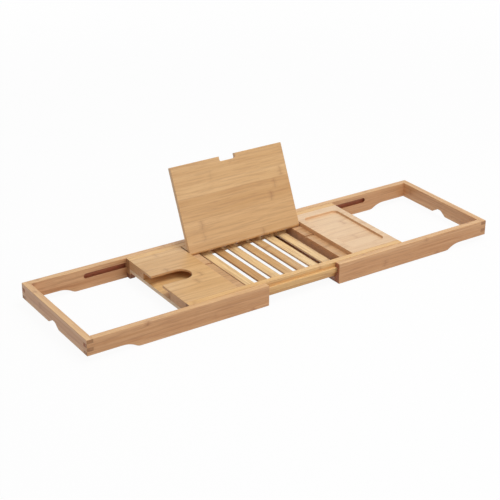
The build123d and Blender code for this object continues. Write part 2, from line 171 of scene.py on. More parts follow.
edge_group, inside, outside = new_group(
    "ShaderNodeTree",
    "Soft edges",
    {"Radius": (FLOAT, 1.2 * MM)},
    {"Edge": FLOAT, "Normal": VECTOR},
)
rounded = add(edge_group, "ShaderNodeBevel", {"Radius": inside.outputs["Radius"]}, samples=6)
surface = add(edge_group, "ShaderNodeNewGeometry")
match = add(
    edge_group,
    "ShaderNodeVectorMath",
    {0: rounded.outputs["Normal"], 1: surface.outputs["Normal"]},
    operation="DOT_PRODUCT",
).outputs["Value"]
edge_group.links.new(ramp(edge_group, match, NO_EDGE, FULL_EDGE), outside.inputs["Edge"])
edge_group.links.new(rounded.outputs["Normal"], outside.inputs["Normal"])
print("group:", edge_group.name)

# %% [markdown]
# ## Laminated bamboo, as a shared group
#
# Bamboo timber is made of thin strips glued side by side. Each strip has its own shade, and
# every hand's span or so a node crosses it: a soft dark smudge with a pale shoulder. Long
# fibres run the whole length. Where a piece is cut across, the fibre ends show as dark dots
# and the lacquer sinks in. The group works all this out from one place in space, with the
# grain along x, so the grain runs through a board's corners as it does in real timber.
# Inside the group all lengths are in millimetres, which keeps the numbers easy to read. The
# place is bent by a slow noise, so that no fibre is perfectly straight.

# %% Bamboo group: sockets and coordinates
SWAY = 3.0  # mm that the fibres wander sideways

bamboo_group, inside, outside = new_group(
    "ShaderNodeTree",
    "Laminated bamboo",
    {
        "Place": (VECTOR, None),
        "Facing": (VECTOR, None),
        "Strip width": (FLOAT, 21.0),
        "Strip thickness": (FLOAT, 6.0),
        "Node spacing": (FLOAT, 230.0),
        "Seed": (FLOAT, 0.0),
        "Contrast": (FLOAT, 1.0),
        "Variety": (FLOAT, 0.55),
        "Edge": (FLOAT, 0.0),
        "Painted shade": (FLOAT, 0.0),
        "Pale": (COLOR, colour(232, 192, 137)),
        "Deep": (COLOR, colour(205, 157, 98)),
        "Node": (COLOR, colour(150, 98, 56)),
        "End grain": (COLOR, colour(196, 150, 110)),
        "Side": (COLOR, (0.98, 0.91, 0.95, 1.0)),
    },
    {"Color": COLOR, "Roughness": FLOAT, "Height": FLOAT},
)
tree = bamboo_group
wanted = inside.outputs
in_mm = {0: wanted["Place"], "Scale": 1 / MM}
place = add(tree, "ShaderNodeVectorMath", in_mm, operation="SCALE").outputs[0]
axes = add(tree, "ShaderNodeSeparateXYZ", {0: place}).outputs
along, across, through = axes[0], axes[1], axes[2]
drift = noise(tree, place, (0.011, 0.02, 0.02), 1.0)
sway = calc(tree, "MULTIPLY_ADD", drift, SWAY, -SWAY / 2)
bent = add(tree, "ShaderNodeCombineXYZ", {
    0: along,
    1: calc(tree, "ADD", across, sway),
    2: calc(tree, "ADD", through, sway),
}).outputs[0]
print("coordinates ready")

# %% [markdown]
# Dividing the place by a strip's width and thickness and rounding down gives each strip a
# number. White noise on that number draws the strip's shade, where its nodes lie and how
# strong they are. Each layer is shifted sideways, as glued layers are, and a fine dark line
# shows where two strips meet.

# %% Bamboo group: strips and their nodes
LAYER_SHIFT = 0.37  # of a strip's width
# Millimetres from a joint or a node: where its mark starts, and where it is full.
GLUE_LINE = (0.30, 0.05)
NODE_LINE = (2.6, 0.2)
NODE_HALO = (10.0, 0.0)
NODE_ARCH, NODE_WANDER, NODE_MEAN = 9.0, 6.0, 3.6  # mm along the strip
FAINTEST_NODE = 0.1
NODE_FADES = (0.5, 0.30)  # from a strip's middle, in its widths: none, and in full

layer_number = calc(tree, "FLOOR", calc(tree, "DIVIDE", through, wanted["Strip thickness"]))
strips_across = calc(tree, "DIVIDE", across, wanted["Strip width"])
row = calc(tree, "MULTIPLY_ADD", layer_number, LAYER_SHIFT, strips_across)
row_number = calc(tree, "FLOOR", row)
strip_id = {0: row_number, 1: layer_number, 2: wanted["Seed"]}
strip = add(tree, "ShaderNodeCombineXYZ", strip_id).outputs[0]
chance = add(tree, "ShaderNodeTexWhiteNoise", {"Vector": strip}, noise_dimensions="3D")
shade = chance.outputs["Value"]
draws = add(tree, "ShaderNodeSeparateColor", {0: chance.outputs["Color"]}).outputs

off_middle = calc(tree, "ABSOLUTE", calc(tree, "SUBTRACT", calc(tree, "FRACT", row), 0.5))
to_joint = calc(tree, "SUBTRACT", 0.5, off_middle)
glue_line = ramp(tree, calc(tree, "MULTIPLY", to_joint, wanted["Strip width"]), *GLUE_LINE)

steps = calc(tree, "ADD", calc(tree, "DIVIDE", along, wanted["Node spacing"]), draws[0])
from_node = calc(tree, "SUBTRACT", calc(tree, "FRACT", steps), 0.5)
arch = calc(tree, "MULTIPLY", calc(tree, "MULTIPLY", off_middle, off_middle), NODE_ARCH)
jitter = noise(tree, place, (0.03, 0.16, 0.16), 1.0)
ragged = calc(tree, "MULTIPLY_ADD", jitter, NODE_WANDER, arch)
uneven = calc(tree, "SUBTRACT", ragged, NODE_MEAN)
node_distance = calc(tree, "MULTIPLY_ADD", from_node, wanted["Node spacing"], uneven)
apart = calc(tree, "ABSOLUTE", node_distance)
fade = ramp(tree, off_middle, *NODE_FADES)
drawn_strength = calc(tree, "MULTIPLY_ADD", draws[1], 1 - FAINTEST_NODE, FAINTEST_NODE)
strength = calc(tree, "MULTIPLY", drawn_strength, fade)
node_line = calc(tree, "MULTIPLY", ramp(tree, apart, *NODE_LINE), strength)
node_halo = calc(tree, "MULTIPLY", ramp(tree, apart, *NODE_HALO), strength)
print("strips ready")

# %% [markdown]
# Five noises, stretched along the grain, give fine fibres, broad streaks, flecks, specks and
# slow clouds. The flecks gather at the nodes. On a face that is cut across, the fibre
# bundles show as dots, and each strip has rings. The facing tells such faces from the rest.
# It also picks out the upright faces, which get a painted shade.

# %% Bamboo group: fibres and end grain
# Noise values where each pattern starts and where it is full.
FLECKS, SPECKS, RINGS = (0.47, 0.66), (0.60, 0.70), (0.40, 0.70)
BUNDLE = (0.46, 0.12)  # distance from a bundle's middle, in bundles
BUNDLES_PER_MM = 1.1
SIDE_SHADE_FACING, END_FACE = (0.75, 0.35), (0.72, 0.95)  # parts of the facing, up and along
FLECKS_AT_NODES = 0.14

fibre = noise(tree, bent, (0.014, 1.25, 1.25), 3.0, 0.62)
streak = noise(tree, bent, (0.0035, 0.17, 0.24), 3.0, 0.55)
fleck_noise = noise(tree, bent, (0.017, 0.34, 0.34), 2.0, 0.6)
gathered = calc(tree, "MULTIPLY_ADD", node_halo, FLECKS_AT_NODES, fleck_noise)
fleck = ramp(tree, gathered, *FLECKS)
speck = ramp(tree, noise(tree, bent, (0.07, 3.1, 3.1), 1.0), *SPECKS)
cloud = noise(tree, place, (0.007, 0.012, 0.012), 1.0)

facing = add(tree, "ShaderNodeSeparateXYZ", {0: wanted["Facing"]}).outputs
# The upright faces, which the side tint darkens: a painted shade.
painted_side_shade = ramp(tree, calc(tree, "ABSOLUTE", facing[2]), *SIDE_SHADE_FACING)
end_face = ramp(tree, calc(tree, "ABSOLUTE", facing[0]), *END_FACE)
flat_place = scaled(tree, place, (0.0, BUNDLES_PER_MM, BUNDLES_PER_MM))
cells = add(tree, "ShaderNodeTexVoronoi", {"Vector": flat_place, "Scale": 1.0})
bundle = ramp(tree, cells.outputs["Distance"], *BUNDLE)
rings = ramp(tree, noise(tree, bent, (0.0, 0.10, 0.9), 2.0, 0.6), *RINGS)
print("fibres ready")

# %% [markdown]
# The colour runs between the deep and the pale shade by a sum of the patterns. The nodes'
# colour then marks flecks, nodes, specks and glue lines, each by its own share. Upright faces
# are then multiplied by the side tint. This is a painted shade that makes them darker and redder
# than the tops. The cut faces, the pale edges and the dark grooves and open ends are laid over
# that in turn. The pale edges are partly wear and partly a painted highlight. The dark grooves
# and open ends are painted shade.

# %% Bamboo group: colour
# The edges' pale colour: partly wear, partly a painted highlight.
WORN_AND_HIGHLIT, WORN_AND_HIGHLIT_SHARE = colour(244, 208, 152), 0.34
# A dark reddish brown: painted shade for the grooves and the open ends.
GROOVE_SHADE_DEEP, GROOVE_SHADE_PALE = colour(124, 62, 38), colour(200, 120, 80)
patterns = ((streak, 1.5), (fibre, 0.9), (cloud, 0.4))
mean_pattern = sum(share for _, share in patterns) / 2
fleck_share = calc(tree, "MULTIPLY", wanted["Contrast"], 0.30)
marks = (
    (fleck, fleck_share),
    (node_halo, 0.20),
    (node_line, 0.28),
    (speck, 0.14),
    (glue_line, 0.26),
)

mix = calc(tree, "MULTIPLY", calc(tree, "SUBTRACT", shade, 0.5), wanted["Variety"])
for pattern, share in patterns:
    mix = calc(tree, "MULTIPLY_ADD", pattern, share, mix)
mix = calc(tree, "MULTIPLY", calc(tree, "SUBTRACT", mix, mean_pattern), wanted["Contrast"])
mix = calc(tree, "ADD", mix, 0.5, clamp=True)
tone = blend(tree, mix, wanted["Deep"], wanted["Pale"])
for mark, share in marks:
    tone = blend(tree, calc(tree, "MULTIPLY", mark, share), tone, wanted["Node"])

dotted = calc(tree, "MULTIPLY_ADD", rings, 0.32, calc(tree, "MULTIPLY", bundle, 0.26))
cut = blend(tree, dotted, wanted["End grain"], wanted["Node"])
cut = blend(tree, calc(tree, "MULTIPLY", shade, 0.30), cut, wanted["Deep"])
# Upright faces: the side tint is a painted shade, darker and redder than the tops.
tone = blend(tree, painted_side_shade, tone, wanted["Side"], "MULTIPLY")
tone = blend(tree, end_face, tone, cut)
# Pale edges: partly wear, partly a painted highlight where a rounded edge catches light.
tone = blend(tree, calc(tree, "MULTIPLY", wanted["Edge"], WORN_AND_HIGHLIT_SHARE), tone, WORN_AND_HIGHLIT)
# Grooves and open ends: painted shade.
painted_shade = blend(tree, fibre, GROOVE_SHADE_DEEP, GROOVE_SHADE_PALE)
tone = blend(tree, wanted["Painted shade"], tone, painted_shade)
tree.links.new(tone, outside.inputs["Color"])
print("colour ready")

# %% [markdown]
# The lacquer is a satin one. It is rougher on cut faces, in the grooves and on the open ends
# that carry the painted shade, and at the edges. The relief is what the fibres, the nodes, the
# glue lines and the open pores of the cut faces leave in the surface.

# %% Bamboo group: gloss and relief
SATIN = 0.36
pores = calc(tree, "MULTIPLY", bundle, end_face)
roughened = ((end_face, 0.16), (wanted["Painted shade"], 0.20), (wanted["Edge"], 0.06))
reliefs = (
    (node_halo, 0.30),
    (node_line, -0.25),
    (speck, -0.25),
    (glue_line, -0.35),
    (pores, -0.4),
)

gloss = calc(tree, "MULTIPLY_ADD", fibre, 0.14, SATIN)
for mask, change in roughened:
    gloss = calc(tree, "MULTIPLY_ADD", mask, change, gloss)
tree.links.new(gloss, outside.inputs["Roughness"])

relief = calc(tree, "MULTIPLY", fibre, 0.30)
for mask, height in reliefs:
    relief = calc(tree, "MULTIPLY_ADD", mask, height, relief)
tree.links.new(relief, outside.inputs["Height"])
print("group:", bamboo_group.name, len(bamboo_group.nodes), "nodes")

# %% [markdown]
# ## Painted shade in grooves and open ends, as a shared group
#
# The walls of the arms' long grooves and the sawn ends where the arms open are given a dark
# reddish brown. This is painted shade: the shade that falls in a groove, and on the open ends,
# which are in shade. The group gives a mask that is 1 inside a band between two distances from
# the caddy's middle and two heights, which holds the groove and nothing else of the rail. Past
# one more place along the rail, where its open end is, the mask is 0.75 on the end's own face.
# No mesh is marked.

# %% Groove shade group
GROOVE_SHADE_STARTS = (0.4 * MM, 1.6 * MM)  # depth below the rail's inner face
SAWN_FACE = (0.5 * MM, 0.2 * MM)  # distance from the open end's plane
SAWN_END_SHADE = 0.75

groove_shade_group, inside, outside = new_group(
    "ShaderNodeTree",
    "Painted groove shade",
    {
        "Place": (VECTOR, None),
        "Nearest": (FLOAT, 0.1080),
        "Furthest": (FLOAT, 0.1146),
        "Bottom": (FLOAT, -0.0037),
        "Top": (FLOAT, 0.0069),
        "Open end": (FLOAT, 0.0),
    },
    {"Mask": FLOAT},
)
tree = groove_shade_group
wanted = inside.outputs
axes = add(tree, "ShaderNodeSeparateXYZ", {0: wanted["Place"]}).outputs
from_middle = calc(tree, "ABSOLUTE", axes[1])
deep = ramp(tree, calc(tree, "SUBTRACT", from_middle, wanted["Nearest"]), *GROOVE_SHADE_STARTS)
shallow = calc(tree, "LESS_THAN", from_middle, wanted["Furthest"])
above = calc(tree, "GREATER_THAN", axes[2], wanted["Bottom"])
below = calc(tree, "LESS_THAN", axes[2], wanted["Top"])
band = calc(tree, "MULTIPLY", calc(tree, "MULTIPLY", above, below), shallow)
groove = calc(tree, "MULTIPLY", band, deep)
from_end = calc(tree, "ABSOLUTE", calc(tree, "SUBTRACT", axes[0], wanted["Open end"]))
sawn = calc(tree, "MULTIPLY", ramp(tree, from_end, *SAWN_FACE), SAWN_END_SHADE)
tree.links.new(calc(tree, "MAXIMUM", groove, sawn), outside.inputs["Mask"])
print("group:", groove_shade_group.name)

# %% [markdown]
# ## One material for each piece of timber
#
# Two neighbouring rails never share the same strips, so each piece gets its own material
# from one function. A Mapping node turns the pattern to the way the piece's grain runs, and
# slides it, so the strips start at another place. The same turn is given to the normal, so
# that the group knows which faces are cut across the grain.

# %% Bamboo material
STAND_TILT = 65.5  # degrees
ALONG_X = (0.0, 0.0, 0.0)
ALONG_Y = (0.0, 0.0, -math.pi / 2)
STAND_TURN = (-math.radians(STAND_TILT), 0.0, 0.0)


def new_material(name):
    """An empty material. Returns it with its tree."""
    material = bpy.data.materials.new(name)
    material.use_nodes = True
    material.node_tree.nodes.clear()
    return material, material.node_tree


def bamboo(name, turn, slide, strip, spacing, seed, shaded_cuts=None, **palette):
    """Lacquered bamboo with its grain turned, and slid by millimetres."""
    material, tree = new_material(name)
    origin = add(tree, "ShaderNodeTexCoord")
    spot = add(tree, "ShaderNodeMapping", {
        "Vector": origin.outputs["Object"],
        "Rotation": turn,
        "Location": [value * MM for value in slide],
    })
    facing = add(tree, "ShaderNodeMapping", {"Vector": origin.outputs["Normal"], "Rotation": turn})
    edges = add(tree, "ShaderNodeGroup", node_tree=edge_group)
    timber = add(tree, "ShaderNodeGroup", node_tree=bamboo_group)
    for title, value in {
        "Strip width": strip[0],
        "Strip thickness": strip[1],
        "Node spacing": spacing,
        "Seed": seed,
        **palette,
    }.items():
        timber.inputs[title].default_value = value
    tree.links.new(spot.outputs[0], timber.inputs["Place"])
    tree.links.new(facing.outputs[0], timber.inputs["Facing"])
    tree.links.new(edges.outputs["Edge"], timber.inputs["Edge"])
    if shaded_cuts:
        groove_shade = add(tree, "ShaderNodeGroup", shaded_cuts, node_tree=groove_shade_group)
        tree.links.new(origin.outputs["Object"], groove_shade.inputs["Place"])
        tree.links.new(groove_shade.outputs["Mask"], timber.inputs["Painted shade"])
    bump = add(tree, "ShaderNodeBump", {
        "Strength": 0.5,
        "Distance": 0.25 * MM,
        "Height": timber.outputs["Height"],
        "Normal": edges.outputs["Normal"],
    })
    lacquer = add(tree, "ShaderNodeBsdfPrincipled", {
        "Base Color": timber.outputs["Color"],
        "Roughness": timber.outputs["Roughness"],
        "Normal": bump.outputs[0],
        "IOR": 1.5,
        "Coat Weight": 0.18,
        "Coat Roughness": 0.28,
    })
    output = add(tree, "ShaderNodeOutputMaterial")
    tree.links.new(lacquer.outputs[0], output.inputs["Surface"])
    return material


def dress(node, material):
    """Gives a solid of the model its material."""
    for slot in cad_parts[node].material_slots:
        slot.material = material


print("bamboo() ready")

# %% [markdown]
# ## Which way each piece is cut
#
# Rails and boards have their grain along the caddy. The end rails, cross bars and slats run
# from front to back. The bearers beside the slatted floor are short lengths sawn across a
# wide panel, so their long inner faces are end grain, which is why they look so dark. The
# small blocks under the rails and the cross bars get a darker palette. It is a painted shade,
# for the shade they sit in under the rails and the centre tray. The palettes hold the shades
# of each kind of piece. What a palette leaves out keeps the group's own value.

# %% Timber palettes
# A palette's side tint is a painted shade on the upright faces.
palettes = {
    "rail": {
        "Pale": colour(250, 212, 150),
        "Deep": colour(232, 182, 116),
        "Node": colour(166, 104, 58),
        "End grain": colour(168, 122, 84),
        "Side": (1.0, 0.97, 0.95, 1.0),
    },
    "arm": {
        "Pale": colour(242, 198, 143),
        "Deep": colour(208, 152, 95),
        "Node": colour(156, 92, 54),
        "End grain": colour(176, 126, 88),
        "Contrast": 0.85,
    },
    "board": {
        "Pale": colour(236, 194, 138),
        "Deep": colour(208, 158, 98),
        "Node": colour(156, 100, 60),
        "End grain": colour(224, 176, 128),
        "Contrast": 0.75,
    },
    "pale board": {
        "Pale": colour(246, 214, 174),
        "Deep": colour(228, 188, 144),
        "Node": colour(184, 132, 94),
        "End grain": colour(214, 170, 128),
        "Side": (1.0, 0.93, 0.90, 1.0),
        "Contrast": 0.75,
    },
    "base board": {
        "Pale": colour(250, 206, 144),
        "Deep": colour(228, 178, 114),
        "Node": colour(160, 104, 62),
        "End grain": colour(252, 228, 196),
        "Side": (1.0, 1.0, 1.0, 1.0),
        "Contrast": 0.9,
    },
    "bearer": {
        "Pale": colour(228, 188, 142),
        "Deep": colour(202, 156, 108),
        "Node": colour(120, 76, 46),
        "End grain": colour(220, 168, 124),
    },
    # Painted shade: the cross bars and stop blocks sit in shade under the rails, and this darker
    # palette stands in for it.
    "dark": {
        "Pale": colour(196, 136, 94),
        "Deep": colour(156, 98, 62),
        "Node": colour(112, 64, 38),
        "End grain": colour(132, 82, 54),
    },
}
palettes["stand"] = {**palettes["board"], "End grain": colour(244, 208, 166)}
print("palettes:", ", ".join(palettes))

# %% [markdown]
# The table gives each piece its kind, its grain, a slide that keeps its strips from lining
# up with the neighbours', its strips' width and thickness, and the distance from node to
# node along a strip, all in millimetres. An arm's long rails also get the painted shade in
# the groove and on the sawn end. Their open ends are the ones nearer the middle of the caddy.

# %% Timber table
BOARD, RAIL, ARM, BEARER = (21.0, 5.5), (9.0, 14.0), (9.0, 13.0), (23.0, 30.0)
SMALL, BATTEN = (14.0, 12.0), (12.0, 12.0)
SEED_STEP = 7.3

timber_table = {
    "centre_front_rail": ("rail", ALONG_X, (40, 3, 5), RAIL, 260),
    "centre_back_rail": ("rail", ALONG_X, (130, 3, 5), RAIL, 260),
    "left_arm_front_rail": ("arm", ALONG_X, (15, 2.5, 4), ARM, 250),
    "left_arm_back_rail": ("arm", ALONG_X, (95, 2.5, 4), ARM, 250),
    "right_arm_front_rail": ("arm", ALONG_X, (160, 2.5, 4), ARM, 250),
    "right_arm_back_rail": ("arm", ALONG_X, (210, 2.5, 4), ARM, 250),
    "left_arm_end_rail": ("arm", ALONG_Y, (70, 3.5, 4), ARM, 240),
    "right_arm_end_rail": ("arm", ALONG_Y, (155, 3.5, 4), ARM, 240),
    "left_arm_cross_bar": ("dark", ALONG_Y, (20, 2, 3), SMALL, 240),
    "right_arm_cross_bar": ("dark", ALONG_Y, (99, 2, 3), SMALL, 240),
    "left_bar": ("bearer", ALONG_X, (0, 4, 3), BEARER, 260),
    "right_bar": ("bearer", ALONG_X, (60, 13, 3), BEARER, 260),
    "right_end_bar": ("bearer", ALONG_X, (20, 9, 3), BEARER, 260),
    "wine_top_board": ("board", ALONG_X, (75, 3, 2), BOARD, 220),
    "wine_base_board": ("base board", ALONG_X, (10, 11, 2), BOARD, 220),
    "phone_board": ("pale board", ALONG_X, (145, 8, 2), BOARD, 220),
    "front_batten": ("rail", ALONG_X, (30, 2, 3), BATTEN, 250),
    "back_batten": ("rail", ALONG_X, (120, 2, 3), BATTEN, 250),
    "stand_stop_bar": ("rail", ALONG_X, (55, 2, 3), SMALL, 250),
    "front_left_stop_block": ("dark", ALONG_X, (5, 2, 3), SMALL, 250),
    "front_right_stop_block": ("dark", ALONG_X, (35, 2, 3), SMALL, 250),
    "back_left_stop_block": ("dark", ALONG_X, (65, 2, 3), SMALL, 250),
    "back_right_stop_block": ("dark", ALONG_X, (85, 2, 3), SMALL, 250),
    "stand_board": ("stand", STAND_TURN, (25, 5, 2.5), BOARD, 235),
}
for number, (node, (kind, turn, slide, strip, spacing)) in enumerate(timber_table.items()):
    # An arm's long rails get painted shade in the groove and on the open end.
    shaded_cuts = None
    if node.endswith(("arm_front_rail", "arm_back_rail")):
        low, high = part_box(node)
        shaded_cuts = {"Open end": high.x if node.startswith("left") else low.x}
    name, seed = f"bamboo {kind} {node}", number * SEED_STEP
    dress(node, bamboo(name, turn, slide, strip, spacing, seed, shaded_cuts, **palettes[kind]))
print("timber pieces:", len(timber_table))

# %% [markdown]
# ## Dowels and steel
#
# The dowels are turned beech, plain and pale: one strip wider than a dowel, with its nodes
# too far apart to show. The hinge pins and screws are stainless steel, so their colour comes
# from reflection: the shader is fully metallic, and only its tint and roughness vary, in
# fine turning lines and in the smears that fingers leave.

# %% Dowel and steel materials
ONE_STRIP, NO_NODES = (30.0, 30.0), 900
FINE_LINES = (900.0, 900.0, 2400.0)  # cycles per metre
SMEARS = (160.0, 160.0, 160.0)
SMEARED, CLEAN = colour(186, 187, 189), colour(214, 214, 213)

dowel = bamboo(
    "beech dowel", ALONG_Y, (3, 2, 1), ONE_STRIP, NO_NODES, 3,
    Contrast=0.5, Pale=colour(226, 196, 152), Deep=colour(208, 172, 126),
)


def steel(name):
    """Plain stainless steel with faint turning marks."""
    material, tree = new_material(name)
    origin = add(tree, "ShaderNodeTexCoord").outputs["Object"]
    fine = noise(tree, origin, FINE_LINES)
    smear = noise(tree, origin, SMEARS)
    edges = add(tree, "ShaderNodeGroup", {"Radius": 0.2 * MM}, node_tree=edge_group)
    bump = add(tree, "ShaderNodeBump", {
        "Strength": 0.15,
        "Distance": 0.02 * MM,
        "Height": fine,
        "Normal": edges.outputs["Normal"],
    })
    metal = add(tree, "ShaderNodeBsdfPrincipled", {
        "Base Color": blend(tree, smear, SMEARED, CLEAN),
        "Roughness": calc(tree, "MULTIPLY_ADD", fine, 0.22, 0.20),
        "Metallic": 1.0,
        "Normal": bump.outputs[0],
    })
    tree.links.new(metal.outputs[0], add(tree, "ShaderNodeOutputMaterial").inputs["Surface"])
    return material


bright_steel = steel("stainless steel")
dress("frame_dowels", dowel)
dress("base_board_dowels", dowel)
dress("hinge_pins", bright_steel)
print("dowels and pins dressed")

# %% [markdown]
# ## Geometry Nodes, and back to a plain mesh
#
# Slats and screws repeat, so a geometry tree makes them: one shape, and points that carry
# copies of it. The tree has named inputs for its sizes. A modifier's inputs are set by their
# identifiers, before the object is first evaluated. The finished mesh is then taken from the
# evaluated object, so that what stays in the file is an ordinary mesh at the origin.

# %% Making a mesh from a tree
def grown(name, tree, sizes, start=None):
    """A plain mesh object that the tree makes from its named sizes."""
    holder = bpy.data.objects.new(name, start or bpy.data.meshes.new(name + " start"))
    bpy.context.scene.collection.objects.link(holder)
    modifier = holder.modifiers.new("tree", "NODES")
    modifier.node_group = tree
    for item in tree.interface.items_tree:
        if item.item_type == "SOCKET" and item.in_out == "INPUT" and item.name in sizes:
            modifier[item.identifier] = sizes[item.name]
    evaluated = holder.evaluated_get(bpy.context.evaluated_depsgraph_get())
    mesh = bpy.data.meshes.new_from_object(evaluated)
    mesh.name = name
    bpy.data.objects.remove(holder)
    piece = bpy.data.objects.new(name, mesh)
    bpy.context.scene.collection.objects.link(piece)
    return piece


def faced_outwards(piece):
    """Merges the mesh's doubles, turns its faces outwards and gives its volume."""
    work = bmesh.new()
    work.from_mesh(piece.data)
    bmesh.ops.remove_doubles(work, verts=work.verts, dist=0.01 * MM)
    bmesh.ops.recalc_face_normals(work, faces=work.faces)
    volume = work.calc_volume()
    work.to_mesh(piece.data)
    work.free()
    return volume


print("grown() ready")

# %% Helpers for geometry trees
GEOMETRY, INT, MATERIAL = "NodeSocketGeometry", "NodeSocketInt", "NodeSocketMaterial"


def joined(tree, x=0.0, y=0.0, z=0.0):
    """Three numbers or sockets as one vector."""
    return add(tree, "ShaderNodeCombineXYZ", {0: x, 1: y, 2: z}).outputs[0]


def halved(tree, value, sign=1):
    """Half of a length, or minus half."""
    return calc(tree, "MULTIPLY", value, 0.5 * sign)


def delivered(tree, copies, finish, socket):
    """Makes the copies real, gives them their material and ends the tree with them."""
    real = add(tree, "GeometryNodeRealizeInstances", {"Geometry": copies})
    painted = add(tree, "GeometryNodeSetMaterial", {
        "Geometry": real.outputs[0], "Material": finish,
    })
    tree.links.new(painted.outputs[0], socket)


print("geometry helpers ready")

# %% [markdown]
# ## Slats
#
# The floor is seven flat slats in a row, with gaps that let water through. Each is a planed
# strip whose long edges are sanded round. A rectangle with filleted corners, swept along a
# straight line, gives that shape with closed ends, and a line of points repeats it at an
# even pitch.

# %% Slat tree
slat_tree, inside, outside = new_group(
    "GeometryNodeTree",
    "Slat row",
    {
        "Count": (INT, 7),
        "Pitch": (FLOAT, 27.6 * MM),
        "Width": (FLOAT, 17.6 * MM),
        "Thickness": (FLOAT, 4.0 * MM),
        "Length": (FLOAT, 191.0 * MM),
        "Edge radius": (FLOAT, 0.9 * MM),
        "First": (VECTOR, None),
        "Finish": (MATERIAL, None),
    },
    {"Slats": GEOMETRY},
)
slat_sizes = inside.outputs
profile = add(slat_tree, "GeometryNodeCurvePrimitiveQuadrilateral", {
    "Width": slat_sizes["Width"], "Height": slat_sizes["Thickness"],
})
rounded_profile = add(slat_tree, "GeometryNodeFilletCurve", {
    "Curve": profile.outputs[0], "Count": 4, "Radius": slat_sizes["Edge radius"],
}, mode="POLY")
spine = add(slat_tree, "GeometryNodeCurvePrimitiveLine", {
    "Start": joined(slat_tree, y=halved(slat_tree, slat_sizes["Length"], -1)),
    "End": joined(slat_tree, y=halved(slat_tree, slat_sizes["Length"])),
})
slat = add(slat_tree, "GeometryNodeCurveToMesh", {
    "Curve": spine.outputs[0], "Profile Curve": rounded_profile.outputs[0], "Fill Caps": True,
})
slat_points = add(slat_tree, "GeometryNodeMeshLine", {
    "Count": slat_sizes["Count"],
    "Start Location": slat_sizes["First"],
    "Offset": joined(slat_tree, slat_sizes["Pitch"]),
})
slat_row = add(slat_tree, "GeometryNodeInstanceOnPoints", {
    "Points": slat_points.outputs[0], "Instance": slat.outputs[0],
})
delivered(slat_tree, slat_row.outputs[0], slat_sizes["Finish"], outside.inputs["Slats"])
print("tree:", slat_tree.name, len(slat_tree.nodes), "nodes")

# %% [markdown]
# Each slat is one strip of bamboo with a shade of its own: the strip pattern repeats at the
# slats' pitch, and its joints are slid into the middle of the gaps between them. The seed and
# the wide variety make the second slat from the left the darkest. That dark tone is a painted
# shadow, for the shadow of something set on the slats. The sizes are read from the slats that
# the row stands for, so it fits the notches of the battens.

# %% Slat material
# This seed makes the second slat the darkest: a painted shadow on that slat.
SLAT_SEED = 12.0
slat_nodes = [f"slat_{number}" for number in range(1, 8)]
low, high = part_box(slat_nodes[0])
slat_pitch = (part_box(slat_nodes[-1])[0].x - low.x) / (len(slat_nodes) - 1)
first_slat = (low.x + high.x) / 2 / slat_pitch
strip_slide = slat_pitch / MM * (0.5 + first_slat % 1.0)
slat_bamboo = bamboo(
    "bamboo slats", ALONG_Y, (12, strip_slide, 5), (slat_pitch / MM, 30.0), 200, SLAT_SEED,
    Contrast=1.1,
    Variety=1.1,
    Pale=colour(250, 216, 160),
    Deep=colour(206, 160, 104),
    Node=colour(156, 102, 62),
)
print("slat pitch", round(slat_pitch / MM, 2), "mm, strips slid by", round(strip_slide, 2), "mm")

# %% Slats from their solids' sizes
slats = grown("slats", slat_tree, {
    "Count": len(slat_nodes),
    "Pitch": slat_pitch,
    "Width": high.x - low.x,
    "Thickness": high.z - low.z,
    "Length": high.y - low.y,
    "First": (low + high) / 2,
    "Finish": slat_bamboo,
})
slat_volume = faced_outwards(slats)
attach(slats, "centre")
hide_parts(*slat_nodes)
print("slats:", len(slats.data.polygons), "faces,", round(slat_volume / MM**3 / 1000, 1), "cm3")

# %% [markdown]
# ## Screws
#
# Countersunk steel screws with a cross recess hold the bearers, the base board, the stop
# blocks and the battens. Most are driven from below and the battens' from inside the tray, so
# they show when the caddy is turned over. A head is a short cone with a cross cut into its
# flat end, and a plain shank ends in a point. The places, the directions and the lengths are
# measured on the solids: each separate solid is one screw, longest along its own axis.

# %% Where the screws are
def loose_parts(node):
    """The corners of each separate solid in a node, doubles merged."""
    work = bmesh.new()
    work.from_mesh(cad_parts[node].data)
    bmesh.ops.remove_doubles(work, verts=work.verts, dist=0.001 * MM)
    left = set(work.verts)
    parts = []
    while left:
        part, waiting = set(), [left.pop()]
        while waiting:
            corner = waiting.pop()
            part.add(corner)
            near = {link.other_vert(corner) for link in corner.link_edges} & left
            left -= near
            waiting += list(near)
        parts.append([corner.co.copy() for corner in part])
    work.free()
    return parts


screw_nodes = ["bar_screws", "base_board_screws", "stop_block_screws", "batten_screws"]
screw_places, screw_aims, screw_lengths = [], [], []
for node in screw_nodes:
    for part in loose_parts(node):
        least = Vector([min(c[i] for c in part) for i in range(3)])
        most = Vector([max(c[i] for c in part) for i in range(3)])
        middle, size = (least + most) / 2, most - least
        if size.z > size.y:
            aim = Vector((0, 0, 1))
        else:
            aim = Vector((0, 1 if middle.y > 0 else -1, 0))
        reach = max(size.y, size.z)
        screw_places.append(middle - aim * reach / 2)
        screw_aims.append(aim)
        screw_lengths.append(reach)
reaches = sorted({round(length / MM, 1) for length in screw_lengths})
print("screws:", len(screw_places), "lengths:", reaches, "mm")

# %% [markdown]
# The tree makes a head, a shank and a point from cones, cuts the cross with two crossed
# boxes, and stands one screw on each point, turned about its axis by chance, as real screws
# end up. The shank is one metre long and is scaled to the length that its point carries.

# %% Screw tree: the head and the point
SIDES = 24

